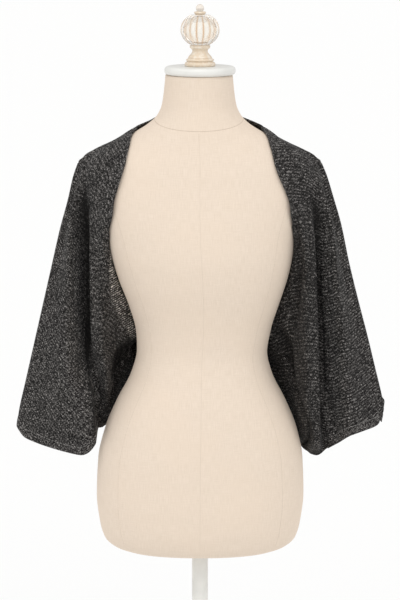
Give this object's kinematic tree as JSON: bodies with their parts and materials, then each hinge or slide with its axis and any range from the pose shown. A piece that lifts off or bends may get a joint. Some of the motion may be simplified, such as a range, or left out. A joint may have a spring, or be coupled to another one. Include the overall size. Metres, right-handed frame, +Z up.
{
  "type": "knit shrug on dress form",
  "caption": "Open-front knit cocoon shrug with wide three-quarter sleeves, resting on a limbless padded dress form with a neck cap, a turned finial, a pole and a round foot.",
  "frame": {"origin": "centre of the foot's flat underside", "axes": "+Z up along the pole, the form's front faces -Y, and the picture's right is +X"},
  "size_m": [0.5928, 0.34, 1.5471],
  "materials": {
    "charcoal_knit": "fine charcoal knit with silver-grey flecks",
    "natural_linen": "plain linen weave drawn tight over padding",
    "white_paint": "satin off-white paint",
    "cream_paint": "satin cream paint on turned metal",
    "amber_glass": "clear pale amber glass, fluted on the ball"
  },
  "bodies": {
    "root": {"shrug_back": "charcoal_knit", "shrug_front_left": "charcoal_knit", "shrug_front_right": "charcoal_knit", "form_body": "natural_linen", "neck_cap": "white_paint", "stand_pole": "white_paint", "stand_foot": "white_paint", "finial_pedestal": "cream_paint", "finial_collar": "cream_paint", "finial_ball": "amber_glass", "finial_knob": "amber_glass"}
  },
  "joints": []
}
